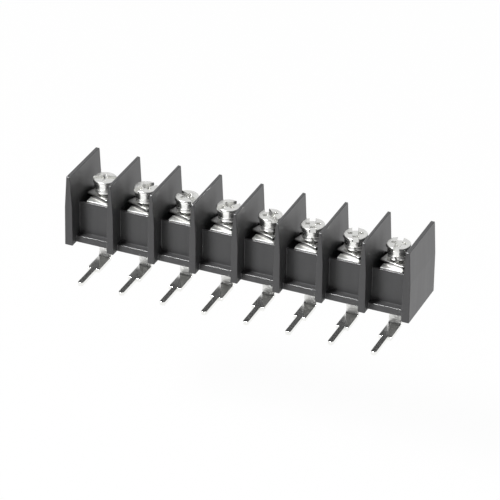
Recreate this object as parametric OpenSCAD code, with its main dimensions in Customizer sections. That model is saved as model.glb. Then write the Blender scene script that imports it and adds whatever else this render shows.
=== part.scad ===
// Barrier terminal strip with one row of screw terminals and right-angle solder pins.
// Frame: X along the strip, Y from the circuit board into the part, Z along the screws.
// The origin is the centre of the row of solder pins, at the surface of the board.

/* [Strip] */
// Number of poles
poles = 8; // [2:1:12]
// Distance from one screw to the next
pitch = 9.5; // [9.5:0.25:12]

/* [Barriers] */
// Height of the barriers above the underside of the housing
barrier_h = 16.5; // [15:0.1:20]
// Depth of the barriers from the board to the back
barrier_d = 14.7; // [14:0.1:18]
// Thickness of a barrier at its top
barrier_top_t = 0.66; // [0.5:0.02:1]
// Thickness of a barrier at the height of the terminals
barrier_mid_t = 1.5; // [1.2:0.05:1.6]
// Thickness of a barrier at its foot
barrier_foot_t = 1.6; // [1.6:0.05:2]
// Extra thickness of the two end barriers on their outer side
end_extra = 0.2; // [0.1:0.05:0.5]
// Chamfer along the top edges of the barriers
barrier_chamfer = 0.1; // [0.05:0.01:0.2]
// Radius of the top corners of the barriers, seen from the end of the strip
barrier_corner = 0.4; // [0.2:0.1:2]

/* [Body of the housing] */
// Height of the front and rear walls above the underside
wall_h = 9.1; // [8.8:0.1:10]
// How far the front and rear walls stand behind the edges of the barriers
wall_recess = 3.6; // [3:0.1:3.7]
// Thickness of the lip in front of and behind each terminal
lip_t = 0.4; // [0.3:0.05:0.45]
// Height of the plinth
plinth_h = 1.6; // [1:0.1:3]
// How far the plinth stands behind the edges of the barriers
plinth_recess = 2.0; // [1.5:0.1:2.8]
// Radius where the plinth meets the wall
plinth_fillet = 0.15; // [0.1:0.05:0.6]
// Depth of the wells on both sides of each terminal
side_well_depth = 2.4; // [1.5:0.1:3]
// Gap between the housing and what is pushed into it
pocket_gap = 0.1; // [0.05:0.01:0.15]

/* [Terminals] */
// Thickness of the terminal strip metal
metal_t = 0.8; // [0.7:0.05:0.9]
// Width of the terminal plate
plate_w = 4.9; // [4.6:0.1:5.4]
// Height of the top of the plate above the lips of the housing
plate_rise = 0.2; // [0.1:0.05:0.4]
// Inner radius of the bends
bend_r = 0.4; // [0.3:0.05:0.5]
// Height of the wide part of the rear bend
neck_h = 2.2; // [1.8:0.1:2.6]
// Width of the leg and of the blade
leg_w = 2.8; // [2.4:0.1:3.2]
// Distance from the screw axis back to the middle of the leg
leg_back = 0.2; // [0:0.05:0.3]
// Height of the shelf of the terminal above the underside of the housing
shelf_h = 3.2; // [2.4:0.1:3.4]
// Width of the solder pin
pin_w = 1.2; // [1:0.05:1.4]
// Reach of the solder pin past the surface of the board
pin_reach = 4.8; // [3:0.1:6]
// Distance from the board to the shoulder of the blade
shoulder_back = 1.9; // [1.2:0.1:3]
// Depth of the middle of the pins below the underside of the housing
pin_drop = 5.9; // [4:0.1:8]
// Chamfer at the tip of the solder pin
tip_chamfer = 0.3; // [0.1:0.05:0.4]
// Outer diameter of the collar around the tapped hole
collar_d = 3.6; // [3.5:0.05:3.7]
// Length of the collar below the plate
collar_h = 0.8; // [0.4:0.1:1.2]

/* [Screws] */
// Diameter of the screw thread
thread_d = 2.9; // [2.8:0.05:2.9]
// Diameter of the tapped hole in the plate
tapped_d = 3.0; // [3:0.02:3.1]
// Length of the screw under its head
shank_l = 6.0; // [5:0.1:6.3]
// Chamfer at the end of the screw
shank_chamfer = 0.35; // [0.2:0.05:0.5]
// Distance from the middle of the housing back to the screw axis
axis_back = 0.5; // [0.3:0.05:0.55]
// Diameter of the lower part of the head
head_low_d = 4.6; // [4.4:0.1:5]
// Height of the lower part of the head
head_low_h = 1.4; // [1:0.1:2]
// Radius of the lower edge of the head
head_foot_round = 0.2; // [0.1:0.05:0.4]
// Diameter of the rim of the head
head_rim_d = 5.2; // [5:0.1:6]
// Height of the rim of the head
head_rim_h = 0.9; // [0.7:0.05:1.2]
// Radius of the edges of the rim
rim_round = 0.25; // [0.1:0.01:0.28]
// Rise of the crowned top of the head
crown_h = 0.1; // [0.05:0.01:0.2]
// Width of the driver slot
slot_w = 1.25; // [0.8:0.05:1.4]
// Depth of the driver slot
slot_depth = 0.85; // [0.7:0.05:1.4]
// Width of the cross recess
cross_w = 0.9; // [0.6:0.05:1.1]
// Length of the cross recess at the top of the head
cross_l = 3.4; // [2.6:0.1:4]
// Length of the cross recess at its floor
cross_floor_l = 1.4; // [1:0.1:1.8]
// Depth of the cross recess
cross_depth = 1.3; // [0.8:0.05:1.5]

/* [Washers] */
// Side of the square clamp washer
clamp_w = 5.8; // [5.6:0.05:5.9]
// Thickness of the square clamp washer
clamp_t = 0.9; // [0.6:0.05:1]
// Chamfer at the corners of the clamp washer
clamp_corner = 0.2; // [0.2:0.05:0.8]
// Diameter of the hole in the clamp washer
clamp_hole_d = 3.4; // [3.4:0.05:3.6]
// Inner diameter of the spring lock washer
lock_hole_d = 3.2; // [3.1:0.05:3.4]
// Outer diameter of the spring lock washer
lock_d = 4.4; // [4.2:0.1:5.6]
// Thickness of the spring lock washer
lock_t = 0.8; // [0.5:0.05:0.9]
// Width of the split in the lock washer
lock_split = 0.5; // [0.3:0.05:0.8]
// Slant of the split in the lock washer
lock_slant = 25; // [10:1:35]
// Free height between the clamp washer and the lock washer
open_gap = 0.4; // [0.35:0.05:1]

/* [Hidden] */
$fn = 48;
bend_steps = 6;
round_steps = 4;
cut = 1;

// Direction of each driver slot, as the screws were left
slot_turns = [21, 57, -27, 57, -46, -67, -67, -81];

// Angle at which each clamp washer lies on its plate
clamp_turns = [-19, -21, -17, -15, -19, -17, -14, -12];

// How far the clamp washers lie off the screw axes, within the play of their holes
clamp_shift = [0.2, 0.1];

// Heights
base_z = pin_drop;
wall_z = base_z + wall_h;
barrier_z = base_z + barrier_h;
plate_z = wall_z + plate_rise;
seat_z = plate_z - metal_t;
neck_z = plate_z - neck_h;
shelf_z = base_z + shelf_h + metal_t;
clamp_z = plate_z + clamp_t;
lock_z = clamp_z + open_gap;
head_z = lock_z + lock_t;
head_top_z = head_z + head_low_h + head_rim_h;

// Places along Y
wall_back = barrier_d - wall_recess;
axis_y = barrier_d / 2 + axis_back;
trough_front = wall_recess + lip_t;
trough_back = wall_back - lip_t;
rear_y = trough_back - pocket_gap - metal_t / 2;
leg_y = axis_y + leg_back;

// Widths
strip_l = poles * pitch;
cell_w = pitch - barrier_mid_t;

function screw_x(k) = (k - (poles + 1) / 2) * pitch;
function barrier_x(i) = (i - poles / 2) * pitch;
function turned(v, a) = [v.x * cos(a) - v.y * sin(a), v.x * sin(a) + v.y * cos(a)];
function left_of(d) = [-d.y, d.x];
function unit(v) = v / norm(v);

// One side of a bend at point b of a strip that runs from a through b to c
function bend_side(a, b, c, side) =
    let (from = unit(b - a),
         to = unit(c - b),
         way = sign(from.x * to.y - from.y * to.x),
         turn = acos(from * to),
         mid_r = bend_r + metal_t / 2,
         centre = b - from * mid_r * tan(turn / 2) + left_of(from) * mid_r * way,
         r = mid_r - way * side * metal_t / 2)
    [for (i = [0:bend_steps])
        centre + turned(-left_of(from) * way * r, way * turn * i / bend_steps)];

// One side of a strip along a path, from its start to its end
function strip_side(path, side) =
    let (last = len(path) - 1,
         first_way = left_of(unit(path[1] - path[0])),
         last_way = left_of(unit(path[last] - path[last - 1])))
    concat(
        [path[0] + first_way * side * metal_t / 2],
        [for (i = [1:last - 1]) each bend_side(path[i - 1], path[i], path[i + 1], side)],
        [path[last] + last_way * side * metal_t / 2]);

function reversed(points) = [for (i = [len(points) - 1:-1:0]) points[i]];

// Draws a shape given in Y and Z and pushes it out along X to both sides
module along_x(length) {
    rotate([90, 0, 90])
        linear_extrude(length, center = true)
            children();
}

// Outline of a barrier across the strip, with its extra thickness on each side
module barrier_section(left_extra, right_extra) {
    foot = barrier_foot_t / 2;
    mid = barrier_mid_t / 2;
    top = barrier_top_t / 2;
    shoulder_z = barrier_z - barrier_chamfer;
    right = [[foot, base_z], [mid, wall_z], [top, shoulder_z], [top - barrier_chamfer, barrier_z]];
    polygon(concat(
        [for (p = right) [p.x + right_extra, p.y]],
        [for (p = reversed(right)) [-p.x - left_extra, p.y]]));
}

module barrier(left_extra, right_extra) {
    intersection() {
        rotate([90, 0, 0])
            translate([0, 0, -barrier_d])
                linear_extrude(barrier_d)
                    barrier_section(left_extra, right_extra);
        along_x(barrier_foot_t + 2 * end_extra + 2 * cut) {
            translate([barrier_corner, barrier_z - barrier_corner])
                circle(barrier_corner);
            translate([barrier_d - barrier_corner, barrier_z - barrier_corner])
                circle(barrier_corner);
            translate([0, base_z])
                square([barrier_d, barrier_h - barrier_corner]);
            translate([barrier_corner, base_z])
                square([barrier_d - 2 * barrier_corner, barrier_h]);
        }
    }
}

// Walls, plinth and floor of the housing as one section
module body_section() {
    front_fillet = [for (i = [0:round_steps])
        [wall_recess - plinth_fillet, base_z + plinth_h + plinth_fillet]
            + plinth_fillet * [sin(90 * i / round_steps), -cos(90 * i / round_steps)]];
    front = concat([[plinth_recess, base_z], [plinth_recess, base_z + plinth_h]],
        front_fillet, [[wall_recess, wall_z]]);
    polygon(concat(front, reversed([for (p = front) [barrier_d - p.x, p.y]])));
}

// Space of one cell behind the lips, without the seat of the plate
module cell_trough() {
    well_w = (cell_w - plate_w) / 2;
    trough_d = trough_back - trough_front;
    for (side = [-1, 1])
        translate([side * (cell_w - well_w) / 2 - well_w / 2, trough_front, wall_z - side_well_depth])
            cube([well_w, trough_d, side_well_depth + cut]);
    translate([-plate_w / 2 - cut / 4, trough_front, seat_z])
        cube([plate_w + cut / 2, trough_d, plate_rise + metal_t + cut]);
}

// Space in the seat for the rear bend, the shelf, the leg and the end of the screw
module terminal_pocket() {
    leg_room = leg_w + 2 * pocket_gap;
    bend_front = rear_y - metal_t / 2 - pocket_gap;
    leg_front = leg_y - metal_t / 2 - pocket_gap;
    translate([-plate_w / 2 - pocket_gap, bend_front, neck_z - pocket_gap])
        cube([plate_w + 2 * pocket_gap, trough_back - bend_front, neck_h + cut]);
    translate([-leg_room / 2, leg_front, base_z + shelf_h])
        cube([leg_room, trough_back - leg_front, seat_z - base_z - shelf_h + cut]);
    translate([-leg_room / 2, leg_front, base_z - cut])
        cube([leg_room, metal_t + 2 * pocket_gap, shelf_h + 2 * cut]);
    translate([0, axis_y, base_z + shelf_h])
        cylinder(h = seat_z - base_z - shelf_h + cut, d = collar_d + 2 * pocket_gap);
}

module housing() {
    color("#2b2b2d")
        union() {
            difference() {
                along_x(strip_l)
                    body_section();
                for (k = [1:poles])
                    translate([screw_x(k), 0, 0]) {
                        cell_trough();
                        terminal_pocket();
                    }
            }
            for (i = [0:poles])
                translate([barrier_x(i), 0, 0])
                    barrier(i == 0 ? end_extra : 0, i == poles ? end_extra : 0);
        }
}

// Flat outline that limits the width of the bent strip, seen from above
module leg_outline() {
    half_leg = leg_w / 2;
    half_pin = pin_w / 2;
    tip_y = -pin_reach;
    right = [
        [half_leg, rear_y + metal_t],
        [half_leg, shoulder_back],
        [half_pin, shoulder_back],
        [half_pin, tip_y + tip_chamfer],
        [half_pin - tip_chamfer, tip_y]];
    polygon(concat(right, reversed([for (p = right) [-p.x, p.y]])));
}

module terminal_metal() {
    path = [
        [trough_front, plate_z - metal_t / 2],
        [rear_y, plate_z - metal_t / 2],
        [rear_y, shelf_z - metal_t / 2],
        [leg_y, shelf_z - metal_t / 2],
        [leg_y, 0],
        [-pin_reach, 0]];
    intersection() {
        along_x(plate_w)
            polygon(concat(strip_side(path, 1), reversed(strip_side(path, -1))));
        union() {
            translate([-plate_w / 2, 0, neck_z])
                cube([plate_w, barrier_d, neck_h + cut]);
            translate([0, 0, -cut])
                linear_extrude(neck_z + 2 * cut)
                    leg_outline();
        }
    }
}

module terminal(k) {
    color("#d9d9d4")
        translate([screw_x(k), 0, 0])
            difference() {
                union() {
                    terminal_metal();
                    translate([0, axis_y, seat_z - collar_h])
                        cylinder(h = collar_h + metal_t / 2, d = collar_d);
                }
                translate([0, axis_y, seat_z - collar_h - cut])
                    cylinder(h = collar_h + metal_t + 2 * cut, d = tapped_d);
            }
}

module clamp(k) {
    half = clamp_w / 2;
    inner = half - clamp_corner;
    color("#d4d4cf")
        translate([screw_x(k) + clamp_shift.x, axis_y + clamp_shift.y, plate_z])
            rotate([0, 0, clamp_turns[(k - 1) % len(clamp_turns)]])
                difference() {
                    linear_extrude(clamp_t)
                        polygon([
                            [half, -inner], [half, inner], [inner, half], [-inner, half],
                            [-half, inner], [-half, -inner], [-inner, -half], [inner, -half]]);
                    translate([0, 0, -cut])
                        cylinder(h = clamp_t + 2 * cut, d = clamp_hole_d);
                }
}

module lock_washer(k) {
    color("#c4c4c0")
        translate([screw_x(k), axis_y, lock_z])
            rotate([0, 0, slot_turns[(k - 1) % len(slot_turns)]])
                difference() {
                    cylinder(h = lock_t, d = lock_d);
                    translate([0, 0, -cut])
                        cylinder(h = lock_t + 2 * cut, d = lock_hole_d);
                    translate([0, 0, lock_t / 2])
                        rotate([lock_slant, 0, 0])
                            translate([0, -lock_split / 2, -lock_t - cut])
                                cube([lock_d, lock_split, 2 * (lock_t + cut)]);
                }
}

// Half section of the screw, from the end of the thread to the crowned top
module screw_section() {
    rim_z = head_low_h + head_rim_h;
    rim_r = head_rim_d / 2;
    foot_round = [for (i = [0:round_steps])
        [head_low_d / 2 - head_foot_round, head_foot_round]
            + head_foot_round * [sin(90 * i / round_steps), -cos(90 * i / round_steps)]];
    low_round = [for (i = [0:round_steps])
        [rim_r - rim_round, head_low_h + rim_round]
            + rim_round * [sin(90 * i / round_steps), -cos(90 * i / round_steps)]];
    top_round = [for (i = [0:round_steps])
        [rim_r - rim_round, rim_z - crown_h - rim_round]
            + rim_round * [cos(90 * i / round_steps), sin(90 * i / round_steps)]];
    crown_r = ((rim_r - rim_round) ^ 2 + crown_h ^ 2) / (2 * crown_h);
    crown_a = asin((rim_r - rim_round) / crown_r);
    crown = [for (i = [1:round_steps])
        let (a = crown_a * (1 - i / round_steps))
        [crown_r * sin(a), rim_z - crown_r * (1 - cos(a))]];
    polygon(concat(
        [[0, -shank_l], [thread_d / 2 - shank_chamfer, -shank_l],
         [thread_d / 2, -shank_l + shank_chamfer], [thread_d / 2, 0]],
        foot_round, [[head_low_d / 2, head_low_h]], low_round, top_round, crown));
}

// Straight slot through the rim, and a tapered cross recess at right angles to it
module driver_recess() {
    top = head_low_h + head_rim_h;
    translate([-head_rim_d / 2 - cut, -slot_w / 2, top - slot_depth])
        cube([head_rim_d + 2 * cut, slot_w, slot_depth + cut]);
    along_x(cross_w)
        polygon([
            [-cross_floor_l / 2, top - cross_depth], [cross_floor_l / 2, top - cross_depth],
            [cross_l / 2, top], [cross_l / 2, top + cut],
            [-cross_l / 2, top + cut], [-cross_l / 2, top]]);
}

module screw(k) {
    color("#dcdcd8")
        translate([screw_x(k), axis_y, head_z])
            rotate([0, 0, slot_turns[(k - 1) % len(slot_turns)]])
                difference() {
                    rotate_extrude()
                        screw_section();
                    driver_recess();
                }
}

housing();
for (k = [1:poles]) {
    terminal(k);
    clamp(k);
    lock_washer(k);
    screw(k);
}
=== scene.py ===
import math

import bmesh
import bpy
from mathutils import Matrix, Vector


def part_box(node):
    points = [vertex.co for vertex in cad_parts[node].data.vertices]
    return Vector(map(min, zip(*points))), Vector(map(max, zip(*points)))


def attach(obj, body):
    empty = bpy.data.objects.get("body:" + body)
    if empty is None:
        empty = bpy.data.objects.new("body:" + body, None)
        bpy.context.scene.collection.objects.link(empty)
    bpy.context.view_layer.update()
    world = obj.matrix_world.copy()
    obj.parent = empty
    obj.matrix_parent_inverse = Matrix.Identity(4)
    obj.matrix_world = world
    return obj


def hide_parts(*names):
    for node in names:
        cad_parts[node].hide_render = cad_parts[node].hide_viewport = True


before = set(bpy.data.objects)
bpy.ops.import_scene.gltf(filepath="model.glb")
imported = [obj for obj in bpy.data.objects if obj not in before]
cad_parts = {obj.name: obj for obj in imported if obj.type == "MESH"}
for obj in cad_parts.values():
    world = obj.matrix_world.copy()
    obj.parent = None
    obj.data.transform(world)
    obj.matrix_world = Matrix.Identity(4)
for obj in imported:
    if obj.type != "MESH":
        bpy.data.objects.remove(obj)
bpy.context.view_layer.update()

MM = 0.001
POLES = sum(1 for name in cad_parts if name.startswith("screw_"))

# Places read from the frame are rounded to this many decimals of a millimetre
DECIMALS = 3

# Camera, as the photograph was taken: angles in degrees, lengths in millimetres
AZIMUTH = 22.65
ELEVATION = 29.89
ROLL = 1.06
DISTANCE = 685.8
FOCAL_PIXELS = 3284.7
PHOTO_PIXELS = 500
SENSOR = 36.0
AIM_POINT = (0.0, 7.35, 13.9)
AIM_SIDEWAYS = 0.40
AIM_UP = -3.32

# Screw, in millimetres from the underside of its head
SHANK_LENGTH = 6.0
SHANK_CHAMFER = 0.35
THREAD_R = 1.45
THREAD_DEPTH = 0.27
THREAD_PITCH = 0.5
THREAD_ROWS = 10
THREAD_SIDES = 36
HEAD_LOW_R = 2.3
HEAD_LOW_H = 1.4
HEAD_RIM_R = 2.6
HEAD_TOP = 2.3
RIM_ROUND = 0.25
FOOT_ROUND = 0.2
CROWN = 0.1
CROWN_STEPS = 6
HEAD_SIDES = 96
SLOT_WIDTH = 1.25
SLOT_DEPTH = 0.85
CROSS_WIDTH = 0.7
CROSS_LENGTH = 3.4
CROSS_FLOOR_LENGTH = 1.4
CROSS_DEPTH = 1.15

# Turn of the slot and of the spring lock washer in degrees, from the first pole to the last
SLOT_TURNS = [21, 57, -27, 57, -46, -67, -67, -81]

# Share of the thread's depth that a flank would gain over one whole pitch
FLANK_SLOPE = 2.7

# How far what cuts the slot and the recess stands past the head, in millimetres
CUT = 1.0

# Clamp washer, in millimetres, with the turn of each in degrees
CLAMP_WIDTH = 5.8
CLAMP_T = 0.9
CLAMP_CORNER = 0.2
CLAMP_HOLE_R = 1.7
CLAMP_ROUND = 0.2
CLAMP_STEPS = 96
CLAMP_TURNS = [-19, -21, -17, -15, -19, -17, -14, -12]
CLAMP_SHIFT = (0.2, 0.1)

# Spring lock washer, in millimetres, with the slant of its split in degrees
LOCK_R = 2.2
LOCK_HOLE_R = 1.6
LOCK_T = 0.8
LOCK_SPLIT = 0.5
LOCK_SLANT = 25
LOCK_ROUND = 0.08
LOCK_STEPS = 72

# Steps of each rounded corner
ROUND_STEPS = 3

# Edges sharper than this, in degrees, are shaded as edges
SHARP = 35

# Rounding of edges, in millimetres, and the least angle in degrees of an edge that is rounded
HOUSING_ROUND = 0.16
HOUSING_EDGE = 60.0
TERMINAL_ROUND = 0.06
TERMINAL_EDGE = 28.0
SCREW_ROUND = 0.05

# Before edges are rounded, points this near (millimetres) and faces this level (degrees) are made one
SAME_POINT = 0.001
SAME_FACE = 0.5

# Rounded edges of the plastic: their roughness, which sets in as a face turns away from the nearest axis
EDGE_ROUGHNESS = 0.22
EDGE_START = 0.985
EDGE_END = 0.93

# Share of a metal's colour that is left in its darkest patches
METAL_DARKEST = 0.94

# Terminals: the height in millimetres above which they are satin, and how rough they are there
SATIN_FROM = 0.45
SATIN_ROUGHNESS = 0.45

# Clamp washers: grey of the painted shade on their sheared upright sides, which sets in as a face turns
# upright
SIDE_SHADE_GREY = 0.16
SIDE_SHADE_START = 0.35
SIDE_SHADE_END = 0.1

# Studio as metal mirrors it: the grey of its walls, and a dim side round one direction, behind the camera
WALL_GREY = 0.74
DIM_GREY = 0.07
DIM_SIDE = (0.1, -0.85, 0.45)
DIM_START = 0.35
DIM_END = 0.85

# Strength of the even light from all round, and distance of the lamps in millimetres
AMBIENT = 0.2
LAMP_DISTANCE = 900

# Floor below the strip: its drop and reach in millimetres, its grey, and the share of it that shows white
FLOOR_DROP = 40.0
FLOOR_REACH = 3000.0
FLOOR_GREY = 0.5
FLOOR_WHITE = 0.97


def link(tree, source, output, target, socket):
    tree.links.new(source.outputs[output], target.inputs[socket])


def grey(value):
    return (value, value, value, 1.0)


def maths(tree, operation):
    node = tree.nodes.new("ShaderNodeMath")
    node.operation = operation
    return node


def split_coords(tree, output):
    """The three parts of a texture coordinate."""
    coords = tree.nodes.new("ShaderNodeTexCoord")
    split = tree.nodes.new("ShaderNodeSeparateXYZ")
    link(tree, coords, output, split, "Vector")
    return split


def map_range(tree, start, end):
    """Nought up to the start and one from the end on."""
    node = tree.nodes.new("ShaderNodeMapRange")
    node.inputs["From Min"].default_value = start
    node.inputs["From Max"].default_value = end
    return node


def noise(tree, coords, scale, detail=2.0, stretch=(1.0, 1.0, 1.0)):
    mapping = tree.nodes.new("ShaderNodeMapping")
    mapping.inputs["Scale"].default_value = [scale * s for s in stretch]
    link(tree, coords, "Object", mapping, "Vector")
    node = tree.nodes.new("ShaderNodeTexNoise")
    node.inputs["Scale"].default_value = 1.0
    node.inputs["Detail"].default_value = detail
    link(tree, mapping, "Vector", node, "Vector")
    return node


def ramp(tree, low, high, start=0.3, end=0.7):
    node = tree.nodes.new("ShaderNodeValToRGB")
    elements = node.color_ramp.elements
    elements[0].position, elements[0].color = start, low
    elements[1].position, elements[1].color = end, high
    return node


def bump(tree, source, strength, distance):
    node = tree.nodes.new("ShaderNodeBump")
    node.inputs["Strength"].default_value = strength
    node.inputs["Distance"].default_value = distance
    link(tree, source, "Fac", node, "Height")
    return node


def new_material(name):
    """A new material with an empty node tree."""
    material = bpy.data.materials.new(name)
    material.use_nodes = True
    material.node_tree.nodes.clear()
    return material


def uneven_material(name, patches, roughness, colours, relief):
    """A material whose roughness and colour vary with one noise, and whose surface is uneven with another.

    The patches are the scale, detail and stretch of the first noise. The relief is the scale and detail of
    the second, its strength, and its depth in metres.
    """
    material = new_material(name)
    tree = material.node_tree
    out = tree.nodes.new("ShaderNodeOutputMaterial")
    shader = tree.nodes.new("ShaderNodeBsdfPrincipled")
    coords = tree.nodes.new("ShaderNodeTexCoord")
    link(tree, shader, "BSDF", out, "Surface")
    field = noise(tree, coords, *patches)
    rough = ramp(tree, *(grey(value) for value in roughness))
    tint = ramp(tree, *((*colour, 1) for colour in colours))
    for node, socket in ((rough, "Roughness"), (tint, "Base Color")):
        link(tree, field, "Fac", node, "Fac")
        link(tree, node, "Color", shader, socket)
    scale, detail, strength, distance = relief
    surface = bump(tree, noise(tree, coords, scale, detail), strength, distance)
    link(tree, surface, "Normal", shader, "Normal")
    return material


def shader_of(material):
    return next(node for node in material.node_tree.nodes if node.type == "BSDF_PRINCIPLED")


def blend(material, socket, kind, value, where, output):
    """Mixes a value into what feeds a socket of the material's shader, by the share that a node puts out."""
    tree = material.node_tree
    shader = shader_of(material)
    mix = tree.nodes.new("ShaderNodeMix")
    mix.data_type = kind
    before = shader.inputs[socket].links[0].from_socket
    tree.links.new(before, mix.inputs["A"])
    mix.inputs["B"].default_value = value
    link(tree, where, output, mix, "Factor")
    link(tree, mix, "Result", shader, socket)


def plastic_material():
    """Black glass-filled polyester: semi-gloss, with a fine mould texture and faint upright flow lines."""
    material = uneven_material(
        "black_plastic", patches=(900.0, 2.0, (1.0, 0.5, 0.06)), roughness=(0.38, 0.46),
        colours=((0.033, 0.033, 0.034), (0.039, 0.039, 0.040)), relief=(3000.0, 3.0, 0.1, 0.00001))
    shader_of(material).inputs["IOR"].default_value = 1.5
    polish_edges(material)
    return material


def polish_edges(material):
    """Lowers the roughness where a surface faces none of the three axes, as on rounded edges."""
    tree = material.node_tree
    coords = tree.nodes.new("ShaderNodeTexCoord")
    size = tree.nodes.new("ShaderNodeVectorMath")
    size.operation = "ABSOLUTE"
    link(tree, coords, "Normal", size, "Vector")
    split = tree.nodes.new("ShaderNodeSeparateXYZ")
    link(tree, size, "Vector", split, "Vector")
    across = maths(tree, "MAXIMUM")
    link(tree, split, "X", across, 0)
    link(tree, split, "Y", across, 1)
    most = maths(tree, "MAXIMUM")
    link(tree, across, "Value", most, 0)
    link(tree, split, "Z", most, 1)
    edge = map_range(tree, EDGE_START, EDGE_END)
    link(tree, most, "Value", edge, "Value")
    blend(material, "Roughness", "FLOAT", EDGE_ROUGHNESS, edge, "Result")


def metal_material(name, colour, roughness, scale):
    """Plated metal with faint changes of gloss and a slightly uneven surface."""
    darkest = tuple(c * METAL_DARKEST for c in colour)
    material = uneven_material(
        name, patches=(scale, 2.0), roughness=roughness,
        colours=(darkest, colour), relief=(500.0, 1.0, 0.2, 0.00002))
    shader_of(material).inputs["Metallic"].default_value = 1.0
    return material


def tin_material():
    """Tin plate: bright on the pins and blades, which lie lowest, and satin above them."""
    material = metal_material(
        "tinned_brass", colour=(0.92, 0.92, 0.90), roughness=(0.10, 0.16), scale=600.0)
    tree = material.node_tree
    above = maths(tree, "GREATER_THAN")
    above.inputs[1].default_value = SATIN_FROM * MM
    link(tree, split_coords(tree, "Object"), "Z", above, 0)
    blend(material, "Roughness", "FLOAT", SATIN_ROUGHNESS, above, "Value")
    return material


def washer_material():
    """Nickel plate whose upright sides, sheared from the sheet, are painted dark grey as shade."""
    material = metal_material(
        "bright_plated_steel", colour=(0.90, 0.90, 0.88), roughness=(0.14, 0.22), scale=700.0)
    tree = material.node_tree
    # Painted shade: faces that turn upright are darkened towards a grey
    tilt = maths(tree, "ABSOLUTE")
    link(tree, split_coords(tree, "Normal"), "Z", tilt, 0)
    upright = map_range(tree, SIDE_SHADE_START, SIDE_SHADE_END)
    link(tree, tilt, "Value", upright, "Value")
    blend(material, "Base Color", "RGBA", grey(SIDE_SHADE_GREY), upright, "Result")
    return material


def add_modifier(obj, kind, **values):
    modifier = obj.modifiers.new(kind.lower(), kind)
    for name, value in values.items():
        setattr(modifier, name, value)
    return modifier


def round_edges(obj, width, segments, angle):
    """Gives a CAD node small round edges, without touching its own mesh."""
    add_modifier(obj, "WELD", merge_threshold=SAME_POINT * MM)
    add_modifier(obj, "DECIMATE", decimate_type="DISSOLVE", angle_limit=math.radians(SAME_FACE))
    add_modifier(obj, "BEVEL", width=width * MM, segments=segments, limit_method="ANGLE",
                 angle_limit=math.radians(angle), use_clamp_overlap=False, harden_normals=True)


def paint(obj, material):
    obj.data.materials.clear()
    obj.data.materials.append(material)


def loft(rings, wrap=False):
    """Points and faces through closed rings of equal length, joined end to end or closed by flat ends."""
    count = len(rings[0])
    points = [p for ring in rings for p in ring]
    faces = []
    for i in range(len(rings) if wrap else len(rings) - 1):
        a, b = i * count, (i + 1) % len(rings) * count
        faces += [(a + j, a + (j + 1) % count, b + (j + 1) % count, b + j) for j in range(count)]
    if not wrap:
        faces.append(tuple(reversed(range(count))))
        faces.append(tuple(range(len(points) - count, len(points))))
    return points, faces


def circle(radius, z, turns):
    return [(radius * math.cos(a), radius * math.sin(a), z) for a in turns]


def whole_turn(steps):
    return [2 * math.pi * i / steps for i in range(steps)]


def rounded(corners):
    """A line of corners (across, up, radius), with each corner rounded off to its radius."""
    line = []
    for i, (x, z, radius) in enumerate(corners):
        here = Vector((x, z))
        if radius == 0:
            line.append(here)
            continue
        before = (Vector(corners[i - 1][:2]) - here).normalized()
        after = (Vector(corners[(i + 1) % len(corners)][:2]) - here).normalized()
        half = before.angle(after) / 2
        middle = here + (before + after).normalized() * radius / math.sin(half)
        start = here + before * radius / math.tan(half) - middle
        bend = math.copysign(math.pi - 2 * half, after.cross(before))
        for k in range(ROUND_STEPS + 1):
            line.append(middle + Matrix.Rotation(bend * k / ROUND_STEPS, 2) @ start)
    return [(p.x, p.y) for p in line]


def make_mesh(name, shape):
    points, faces = shape
    mesh = bpy.data.meshes.new(name)
    mesh.from_pydata([Vector(p) * MM for p in points], [], faces)
    work = bmesh.new()
    work.from_mesh(mesh)
    bmesh.ops.recalc_face_normals(work, faces=work.faces)
    work.to_mesh(mesh)
    work.free()
    mesh.shade_smooth()
    mesh.set_sharp_from_angle(angle=math.radians(SHARP))
    return mesh


def head_shape():
    """The head without its slot: a narrow lower part, a wider rim, and a slightly domed top."""
    rim = HEAD_RIM_R - 2 * RIM_ROUND
    line = rounded([
        (THREAD_R, 0.0, 0),
        (HEAD_LOW_R, 0.0, FOOT_ROUND),
        (HEAD_LOW_R, HEAD_LOW_H, 0),
        (HEAD_RIM_R, HEAD_LOW_H, RIM_ROUND),
        (HEAD_RIM_R, HEAD_TOP - CROWN, RIM_ROUND),
        (rim, HEAD_TOP - CROWN, 0),
    ])
    shares = [1 - i / CROWN_STEPS for i in range(1, CROWN_STEPS)]
    line += [(rim * share, HEAD_TOP - CROWN * share ** 2) for share in shares]
    return loft([circle(r, z, whole_turn(HEAD_SIDES)) for r, z in line])


def shank_shape():
    """The threaded shank: a ring at each step of height, with the thread's radius at that height."""
    rings = []
    count = round(SHANK_LENGTH / THREAD_PITCH * THREAD_ROWS)
    for i in range(count + 1):
        z = -SHANK_LENGTH + i * SHANK_LENGTH / count
        limit = THREAD_R - max(0.0, SHANK_CHAMFER - (z + SHANK_LENGTH))
        ring = []
        for j in range(THREAD_SIDES):
            turn = j / THREAD_SIDES
            phase = (z / THREAD_PITCH - turn) % 1.0
            depth = THREAD_DEPTH * min(1.0, FLANK_SLOPE * (0.5 - abs(phase - 0.5)))
            radius = min(THREAD_R - depth, limit)
            a = 2 * math.pi * turn
            ring.append((radius * math.cos(a), radius * math.sin(a), z))
        rings.append(ring)
    return loft(rings)


def box_shape(levels):
    """A box of four sides through levels (half its width, half its length, height)."""
    return loft([[(-x, -y, z), (x, -y, z), (x, y, z), (-x, y, z)] for x, y, z in levels])


def slot_shape():
    reach = HEAD_RIM_R + CUT
    half = SLOT_WIDTH / 2
    return box_shape([(reach, half, HEAD_TOP - SLOT_DEPTH), (reach, half, HEAD_TOP + CUT)])


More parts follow.
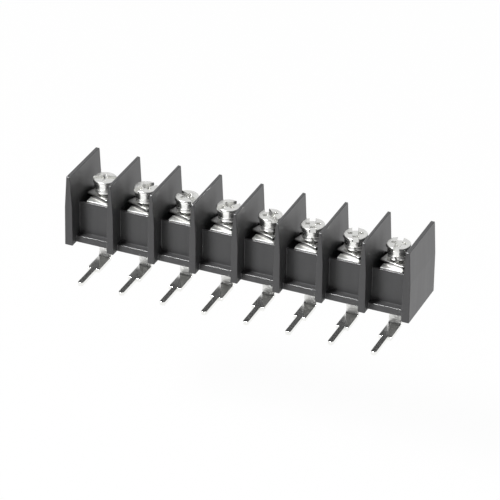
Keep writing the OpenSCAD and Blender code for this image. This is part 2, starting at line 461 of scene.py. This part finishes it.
def recess_shape():
    """The arms of the cross recess that run across the slot, and narrow towards its floor."""
    half = CROSS_WIDTH / 2
    floor = CROSS_FLOOR_LENGTH / 2
    top = CROSS_LENGTH / 2
    return box_shape([
        (half, floor, HEAD_TOP - CROSS_DEPTH),
        (half, top, HEAD_TOP),
        (half, top, HEAD_TOP + CUT)])


def scratch_object(name, shape):
    obj = bpy.data.objects.new(name, make_mesh(name, shape))
    bpy.context.scene.collection.objects.link(obj)
    return obj


def screw_mesh():
    """The head with its slot and cross recess cut out, its sharp edges marked, and the threaded shank."""
    head = scratch_object("head_blank", head_shape())
    cutters = [scratch_object("slot_cutter", slot_shape()), scratch_object("cross_cutter", recess_shape())]
    for cutter in cutters:
        add_modifier(head, "BOOLEAN", operation="DIFFERENCE", solver="EXACT", object=cutter)
    bpy.context.view_layer.update()
    graph = bpy.context.evaluated_depsgraph_get()
    mesh = bpy.data.meshes.new_from_object(head.evaluated_get(graph))
    for obj in [head] + cutters:
        bpy.data.objects.remove(obj)
    work = bmesh.new()
    work.from_mesh(mesh)
    weight = work.edges.layers.float.new("bevel_weight_edge")
    for edge in work.edges:
        edge[weight] = float(edge.calc_face_angle() > math.radians(SHARP))
    work.from_mesh(make_mesh("shank", shank_shape()))
    mesh = bpy.data.meshes.new("screw")
    work.to_mesh(mesh)
    work.free()
    mesh.shade_smooth()
    mesh.set_sharp_from_angle(angle=math.radians(SHARP))
    return mesh


def clamp_mesh():
    """A square washer with cut corners, pressed from sheet, so its edges are slightly round."""
    half = CLAMP_WIDTH / 2
    diagonal = (2 * half - CLAMP_CORNER) / math.sqrt(2)
    sides = [(half if i % 2 == 0 else diagonal, math.radians(45 * i)) for i in range(8)]
    corner = math.atan2(half - CLAMP_CORNER, half)
    turns = set(whole_turn(CLAMP_STEPS))
    for i in range(4):
        turns |= {(i * math.pi / 2 + side * corner) % (2 * math.pi) for side in (-1, 1)}
    turns = sorted(turns)

    def outline(inset, z):
        ring = []
        for a in turns:
            facing = [(d, math.cos(a - e)) for d, e in sides if math.cos(a - e) > 0]
            r = min((d - inset) / share for d, share in facing)
            ring.append((r * math.cos(a), r * math.sin(a), z))
        return ring

    r = CLAMP_ROUND
    quarter = [math.pi / 2 * k / ROUND_STEPS for k in range(ROUND_STEPS + 1)]
    near = [r * (1 - math.sin(a)) for a in quarter]
    far = [r * (1 - math.cos(a)) for a in quarter]
    rings = [outline(n, f) for n, f in zip(near, far)]
    rings += [outline(f, CLAMP_T - n) for n, f in zip(near, far)]
    rings += [circle(CLAMP_HOLE_R + n, CLAMP_T - f, turns) for n, f in zip(near, far)]
    rings += [circle(CLAMP_HOLE_R + f, n, turns) for n, f in zip(near, far)]
    return make_mesh("clamp", loft(rings, wrap=True))


def lock_mesh():
    """A split spring washer: its section is carried round from one slanted end to the other."""
    section = rounded([
        (LOCK_HOLE_R, 0.0, LOCK_ROUND), (LOCK_R, 0.0, LOCK_ROUND),
        (LOCK_R, LOCK_T, LOCK_ROUND), (LOCK_HOLE_R, LOCK_T, LOCK_ROUND)])
    slant = math.tan(math.radians(LOCK_SLANT))
    rings = []
    for i in range(LOCK_STEPS + 1):
        share = i / LOCK_STEPS
        ring = []
        for r, z in section:
            lean = (z - LOCK_T / 2) * slant / r
            gap = LOCK_SPLIT / 2 / r
            a = (gap - lean) * (1 - share) + (2 * math.pi - gap - lean) * share
            ring.append((r * math.cos(a), r * math.sin(a), z))
        rings.append(ring)
    return make_mesh("lock_washer", loft(rings))


def place(name, mesh, node, material, turn, shift=(0.0, 0.0)):
    """A piece that stands for a CAD node of one pole, which is a body of its own.

    It stands on the axis of the pole's screw, or beside it by the shift in millimetres, and its lowest
    point is as high as the node's.
    """
    pole = node.split("_")[-1]
    low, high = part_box(f"screw_{pole}")
    axis = (low + high) / 2
    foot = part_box(node)[0].z - min(point.co.z for point in mesh.vertices)
    x, y, z = (round(value / MM, DECIMALS) for value in (axis.x, axis.y, foot))
    spot = Vector((x + shift[0], y + shift[1], z)) * MM
    piece = bpy.data.objects.new(name, mesh.copy())
    piece.data.materials.append(material)
    bpy.context.scene.collection.objects.link(piece)
    piece.matrix_world = Matrix.Translation(spot) @ Matrix.Rotation(math.radians(turn), 4, "Z")
    bpy.context.view_layer.update()
    if "bevel_weight_edge" in mesh.attributes:
        add_modifier(piece, "BEVEL", width=SCREW_ROUND * MM, segments=2, limit_method="WEIGHT",
                     use_clamp_overlap=False, harden_normals=True)
    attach(piece, node)
    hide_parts(node)


def make_camera():
    azimuth, elevation, roll = (math.radians(a) for a in (AZIMUTH, ELEVATION, ROLL))
    back = Vector((math.sin(azimuth) * math.cos(elevation),
                   -math.cos(azimuth) * math.cos(elevation), math.sin(elevation)))
    right = Vector((math.cos(azimuth), math.sin(azimuth), 0.0))
    up = back.cross(right)
    turned_right = right * math.cos(roll) + up * math.sin(roll)
    turned_up = up * math.cos(roll) - right * math.sin(roll)
    aim = Vector(AIM_POINT) + turned_right * AIM_SIDEWAYS + turned_up * AIM_UP
    data = bpy.data.cameras.new("camera")
    data.sensor_width = SENSOR
    data.lens = FOCAL_PIXELS / PHOTO_PIXELS * SENSOR
    data.clip_start = 0.01
    data.clip_end = 50.0
    camera = bpy.data.objects.new("camera", data)
    bpy.context.scene.collection.objects.link(camera)
    turn = Matrix((turned_right, turned_up, back)).transposed().to_4x4()
    camera.matrix_world = Matrix.Translation((aim + back * DISTANCE) * MM) @ turn
    bpy.context.scene.camera = camera


def seen_or_mirrored(tree, path):
    """One for what the camera sees, straight or in metal or glass, and nought for light on the object."""
    mirrored = maths(tree, "MAXIMUM")
    link(tree, path, "Is Glossy Ray", mirrored, 0)
    link(tree, path, "Is Transmission Ray", mirrored, 1)
    seen = maths(tree, "MAXIMUM")
    link(tree, path, "Is Camera Ray", seen, 0)
    link(tree, mirrored, "Value", seen, 1)
    return seen


def mirrored_studio(tree):
    """The grey of the studio as metal shows it: pale all round, and dark on the unlit side."""
    coords = tree.nodes.new("ShaderNodeTexCoord")
    front = tree.nodes.new("ShaderNodeVectorMath")
    front.operation = "DOT_PRODUCT"
    front.inputs[1].default_value = Vector(DIM_SIDE).normalized()
    link(tree, coords, "Generated", front, "Vector")
    shade = ramp(tree, grey(WALL_GREY), grey(DIM_GREY), DIM_START, DIM_END)
    shade.color_ramp.interpolation = "EASE"
    link(tree, front, "Value", shade, "Fac")
    return shade


def make_world():
    """White to the camera, the studio's greys to metal, and even light of its own on the object."""
    world = bpy.data.worlds.new("studio")
    bpy.context.scene.world = world
    world.use_nodes = True
    tree = world.node_tree
    tree.nodes.clear()
    path = tree.nodes.new("ShaderNodeLightPath")
    open_air = tree.nodes.new("ShaderNodeMix")
    open_air.data_type = "RGBA"
    open_air.inputs["B"].default_value = grey(1.0)
    link(tree, path, "Is Camera Ray", open_air, "Factor")
    link(tree, mirrored_studio(tree), "Color", open_air, "A")
    seen = tree.nodes.new("ShaderNodeBackground")
    link(tree, open_air, "Result", seen, "Color")
    even = tree.nodes.new("ShaderNodeBackground")
    even.inputs["Color"].default_value = grey(1.0)
    even.inputs["Strength"].default_value = AMBIENT
    mix = tree.nodes.new("ShaderNodeMixShader")
    link(tree, seen_or_mirrored(tree, path), "Value", mix, 0)
    link(tree, even, "Background", mix, 1)
    link(tree, seen, "Background", mix, 2)
    out = tree.nodes.new("ShaderNodeOutputWorld")
    link(tree, mix, "Shader", out, "Surface")


def area_light(name, direction, size, radiance):
    """A square lamp seen from the middle of the strip along direction, of an even radiance."""
    data = bpy.data.lights.new(name, "AREA")
    data.size = size * MM
    data.energy = radiance * math.pi * (size * MM) ** 2
    lamp = bpy.data.objects.new(name, data)
    bpy.context.scene.collection.objects.link(lamp)
    aim = Vector(AIM_POINT) * MM
    spot = aim + Vector(direction).normalized() * LAMP_DISTANCE * MM
    lamp.matrix_world = Matrix.Translation(spot) @ (aim - spot).to_track_quat("-Z", "Y").to_matrix().to_4x4()


def floor_material():
    """White to the camera and to metal, with a share of grey that holds the shadow."""
    material = new_material("floor_white")
    tree = material.node_tree
    path = tree.nodes.new("ShaderNodeLightPath")
    share = maths(tree, "MULTIPLY")
    share.inputs[1].default_value = FLOOR_WHITE
    link(tree, seen_or_mirrored(tree, path), "Value", share, 0)
    matte = tree.nodes.new("ShaderNodeBsdfDiffuse")
    matte.inputs["Color"].default_value = grey(FLOOR_GREY)
    glow = tree.nodes.new("ShaderNodeEmission")
    glow.inputs["Color"].default_value = grey(1.0)
    mix = tree.nodes.new("ShaderNodeMixShader")
    link(tree, share, "Value", mix, 0)
    link(tree, matte, "BSDF", mix, 1)
    link(tree, glow, "Emission", mix, 2)
    out = tree.nodes.new("ShaderNodeOutputMaterial")
    link(tree, mix, "Shader", out, "Surface")
    return material


def make_floor():
    mesh = bpy.data.meshes.new("floor")
    side = FLOOR_REACH * MM
    z = -FLOOR_DROP * MM
    corners = [(-side, -side, z), (side, -side, z), (side, side, z), (-side, side, z)]
    mesh.from_pydata(corners, [], [(0, 1, 2, 3)])
    mesh.materials.append(floor_material())
    floor = bpy.data.objects.new("floor", mesh)
    bpy.context.scene.collection.objects.link(floor)


plastic = plastic_material()
tin = tin_material()
nickel = metal_material("plated_steel", colour=(0.92, 0.92, 0.90), roughness=(0.20, 0.28), scale=700.0)
bright = washer_material()
spring = metal_material(
    "plated_spring_steel", colour=(0.84, 0.84, 0.83), roughness=(0.28, 0.38), scale=900.0)

make_camera()
make_world()
area_light("key", direction=(-0.334, -0.498, 0.80), size=220, radiance=105.0)
area_light("fill", direction=(0.8, -0.4, 0.35), size=500, radiance=1.0)
area_light("rim", direction=(0.88, 0.44, 0.2), size=300, radiance=30.0)
make_floor()

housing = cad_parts["housing"]
round_edges(housing, HOUSING_ROUND, segments=3, angle=HOUSING_EDGE)
paint(housing, plastic)
screw = screw_mesh()
clamp = clamp_mesh()
lock = lock_mesh()
for k in range(1, POLES + 1):
    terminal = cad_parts[f"terminal_{k}"]
    round_edges(terminal, TERMINAL_ROUND, segments=2, angle=TERMINAL_EDGE)
    paint(terminal, tin)
    place(f"threaded_screw_{k}", screw, f"screw_{k}", nickel, turn=SLOT_TURNS[k - 1])
    place(f"square_washer_{k}", clamp, f"clamp_{k}", bright,
          turn=CLAMP_TURNS[k - 1], shift=CLAMP_SHIFT)
    place(f"spring_washer_{k}", lock, f"lock_washer_{k}", spring,
          turn=SLOT_TURNS[k - 1])

bpy.context.scene.view_settings.view_transform = "Standard"
